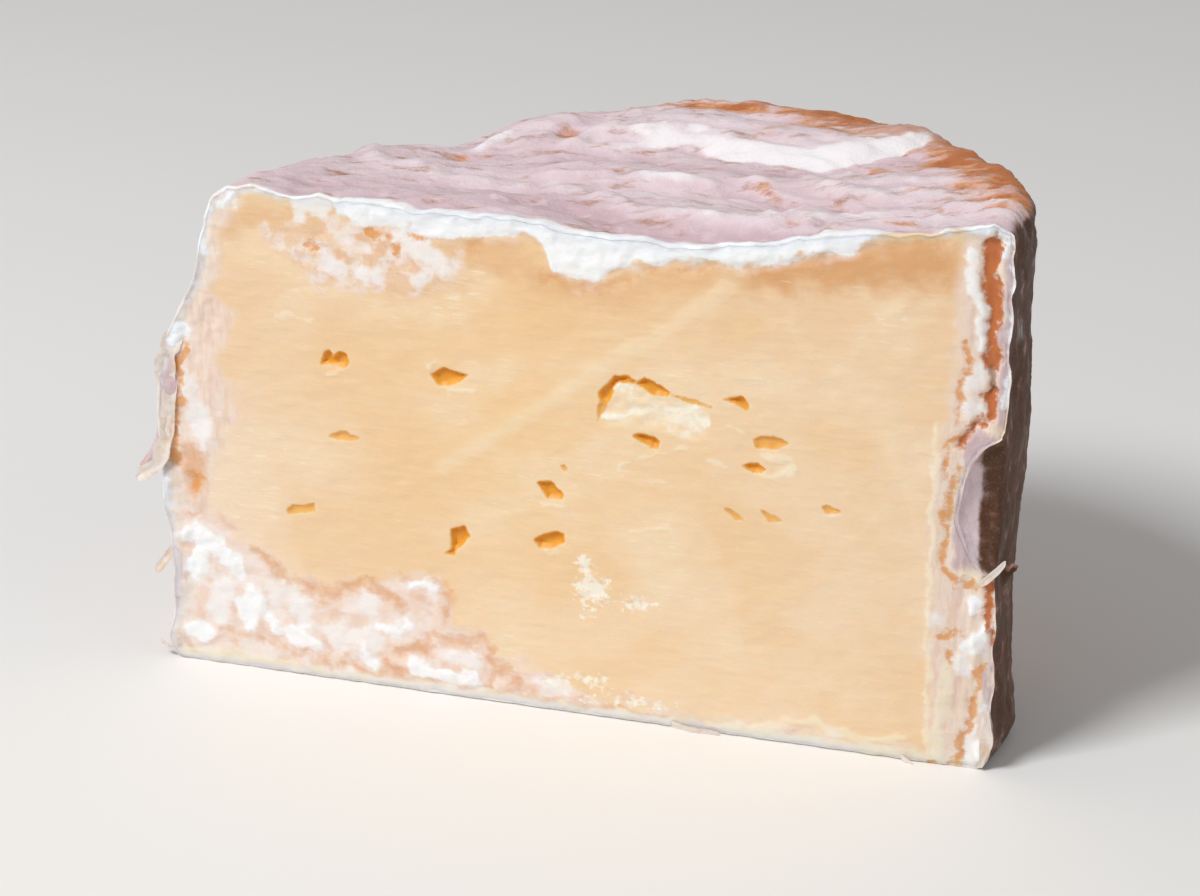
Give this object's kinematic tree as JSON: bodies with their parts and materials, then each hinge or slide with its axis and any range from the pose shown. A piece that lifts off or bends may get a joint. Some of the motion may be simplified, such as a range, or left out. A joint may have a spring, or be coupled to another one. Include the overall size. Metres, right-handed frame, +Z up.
{
  "type": "half camembert cheese",
  "caption": "Half of a small, tall soft-ripened cheese wheel, cut through the middle, with a white mould rind, sagged side, sunk folded top and small eyes in the cut face.",
  "frame": {"origin": "middle of the foot of the bounding box, on the surface the cheese stands on", "axes": "+Z up, +X to the right of someone looking at the cut face, +Y from the cut face back through the wheel"},
  "size_m": [0.066, 0.0314, 0.0396],
  "materials": {
    "cheese": "soft, slightly moist cut paste with a matte white mould rind"
  },
  "bodies": {
    "root": {"camembert_half": "cheese"}
  },
  "joints": []
}
